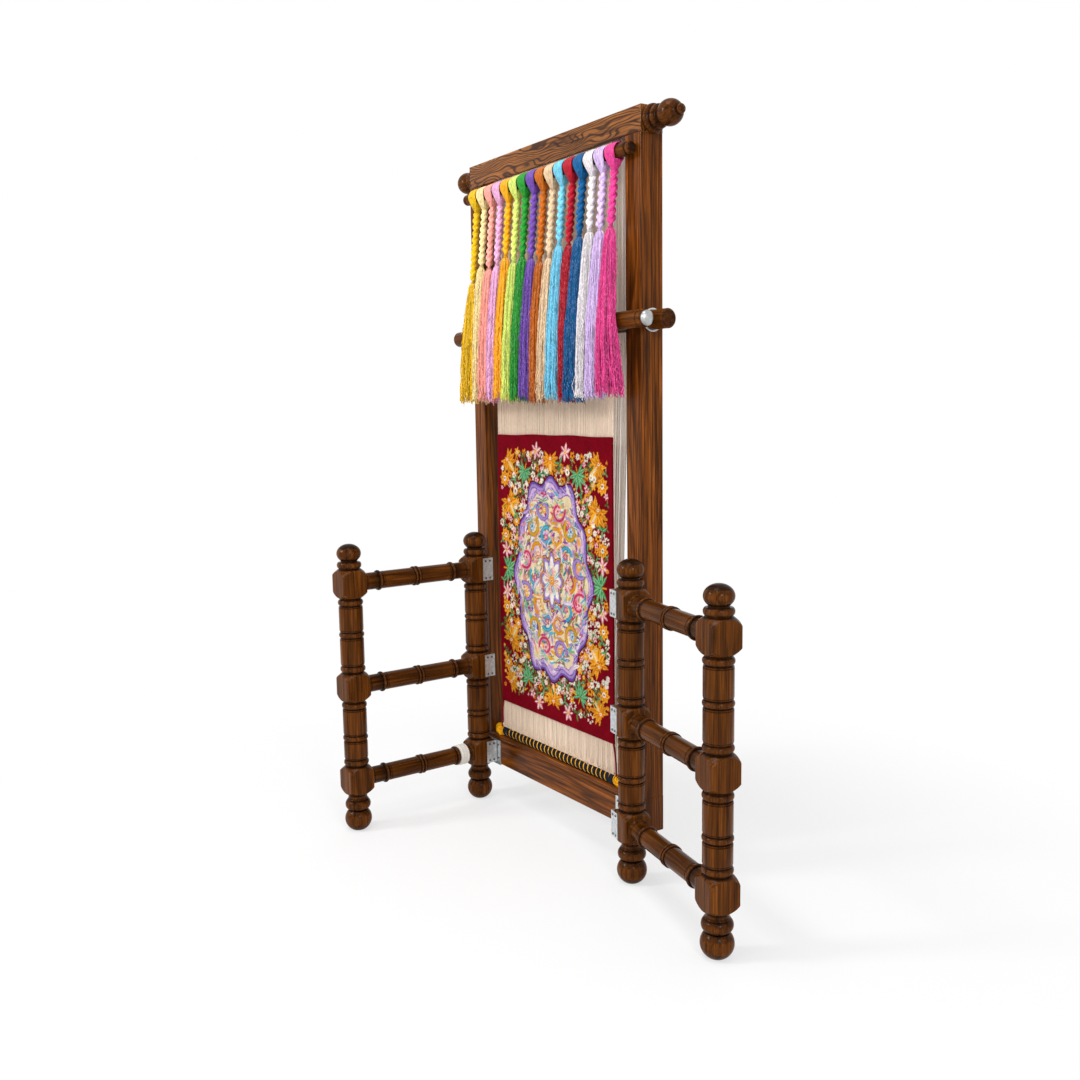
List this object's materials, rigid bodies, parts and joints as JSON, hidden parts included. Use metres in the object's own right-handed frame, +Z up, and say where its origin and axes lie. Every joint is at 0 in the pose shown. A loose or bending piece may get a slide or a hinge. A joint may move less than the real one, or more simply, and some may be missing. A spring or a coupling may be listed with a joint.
{
  "type": "frame loom",
  "caption": "Upright carpet loom of walnut-stained wood with turned side gates, hanging yarn hanks, a cream warp and a part-woven crimson carpet.",
  "frame": {"origin": "centre of the footprint's bounding box at floor level, with the left gate toed in by 3 degrees and the right gate swung out by 78", "axes": "+Z up, +X along the beams to the right as the weaver sees them, +Y from the weaver to the back of the frame"},
  "size_m": [1.191, 0.4896, 1.636],
  "materials": {
    "walnut": "stained and varnished, satin",
    "zinc": "zinc plated, satin",
    "cotton": "cream cotton warp",
    "pile": "knotted pile, crimson with a patterned field",
    "navy_yarn": "dark yarn, matt",
    "yellow_yarn": "yellow yarn, matt",
    "tape": "white cloth tape",
    "gold_yarn": "dyed yarn with a silky sheen",
    "cream_yarn": "dyed yarn with a silky sheen",
    "salmon_yarn": "dyed yarn with a silky sheen",
    "lilac_pink_yarn": "dyed yarn with a silky sheen",
    "amber_yarn": "dyed yarn with a silky sheen",
    "pale_lime_yarn": "dyed yarn with a silky sheen",
    "green_yarn": "dyed yarn with a silky sheen",
    "purple_yarn": "dyed yarn with a silky sheen",
    "ochre_yarn": "dyed yarn with a silky sheen",
    "beige_yarn": "dyed yarn with a silky sheen",
    "light_blue_yarn": "dyed yarn with a silky sheen",
    "crimson_yarn": "dyed yarn with a silky sheen",
    "strong_blue_yarn": "dyed yarn with a silky sheen",
    "white_yarn": "dyed yarn with a silky sheen",
    "pale_lilac_yarn": "dyed yarn with a silky sheen",
    "hot_pink_yarn": "dyed yarn with a silky sheen"
  },
  "bodies": {
    "frame": {"left_upright": "walnut", "right_upright": "walnut", "top_beam": "walnut", "bottom_beam": "walnut", "left_finial": "walnut", "right_finial": "walnut", "skein_rod": "walnut", "heddle_pole": "walnut", "pole_end_cap": "zinc", "left_pole_washer": "zinc", "right_pole_washer": "zinc", "warp_front": "cotton", "warp_back": "cotton", "carpet": "pile", "warp_rod": "walnut", "rod_lashing": "yellow_yarn", "rod_winding": "navy_yarn", "left_top_leaf": "zinc", "left_middle_leaf": "zinc", "left_bottom_leaf": "zinc", "right_top_leaf": "zinc", "right_middle_leaf": "zinc", "right_bottom_leaf": "zinc", "hank_01_gold": "gold_yarn", "hank_02_cream": "cream_yarn", "hank_03_salmon": "salmon_yarn", "hank_04_lilac_pink": "lilac_pink_yarn", "hank_05_amber": "amber_yarn", "hank_06_pale_lime": "pale_lime_yarn", "hank_07_green": "green_yarn", "hank_08_purple": "purple_yarn", "hank_09_ochre": "ochre_yarn", "hank_10_beige": "beige_yarn", "hank_11_light_blue": "light_blue_yarn", "hank_12_crimson": "crimson_yarn", "hank_13_strong_blue": "strong_blue_yarn", "hank_14_white": "white_yarn", "hank_15_pale_lilac": "pale_lilac_yarn", "hank_16_hot_pink": "hot_pink_yarn"},
    "lease_pole_body": {"lease_pole": "walnut"},
    "left_gate": {"left_rear_post": "walnut", "left_front_post": "walnut", "left_top_rail": "walnut", "left_middle_rail": "walnut", "left_bottom_rail": "walnut", "left_top_strap": "zinc", "left_middle_strap": "zinc", "left_bottom_strap": "zinc", "rail_wrap": "tape"},
    "right_gate": {"right_rear_post": "walnut", "right_front_post": "walnut", "right_top_rail": "walnut", "right_middle_rail": "walnut", "right_bottom_rail": "walnut", "right_top_strap": "zinc", "right_middle_strap": "zinc", "right_bottom_strap": "zinc"}
  },
  "joints": [
    {"name": "left_gate_swing", "type": "hinge", "parent": "frame", "child": "left_gate", "pos_m": [-0.47549, 0.18232, 0.36], "axis": [0, 0, 1], "range_deg": [-91, 1]},
    {"name": "right_gate_swing", "type": "hinge", "parent": "frame", "child": "right_gate", "pos_m": [0.17651, 0.18232, 0.36], "axis": [0, 0, 1], "range_deg": [-80, 10]},
    {"name": "lease_pole_turn", "type": "hinge", "parent": "frame", "child": "lease_pole_body", "pos_m": [-0.14949, 0.21577, 1.205], "axis": [1, 0, 0], "continuous": true}
  ]
}
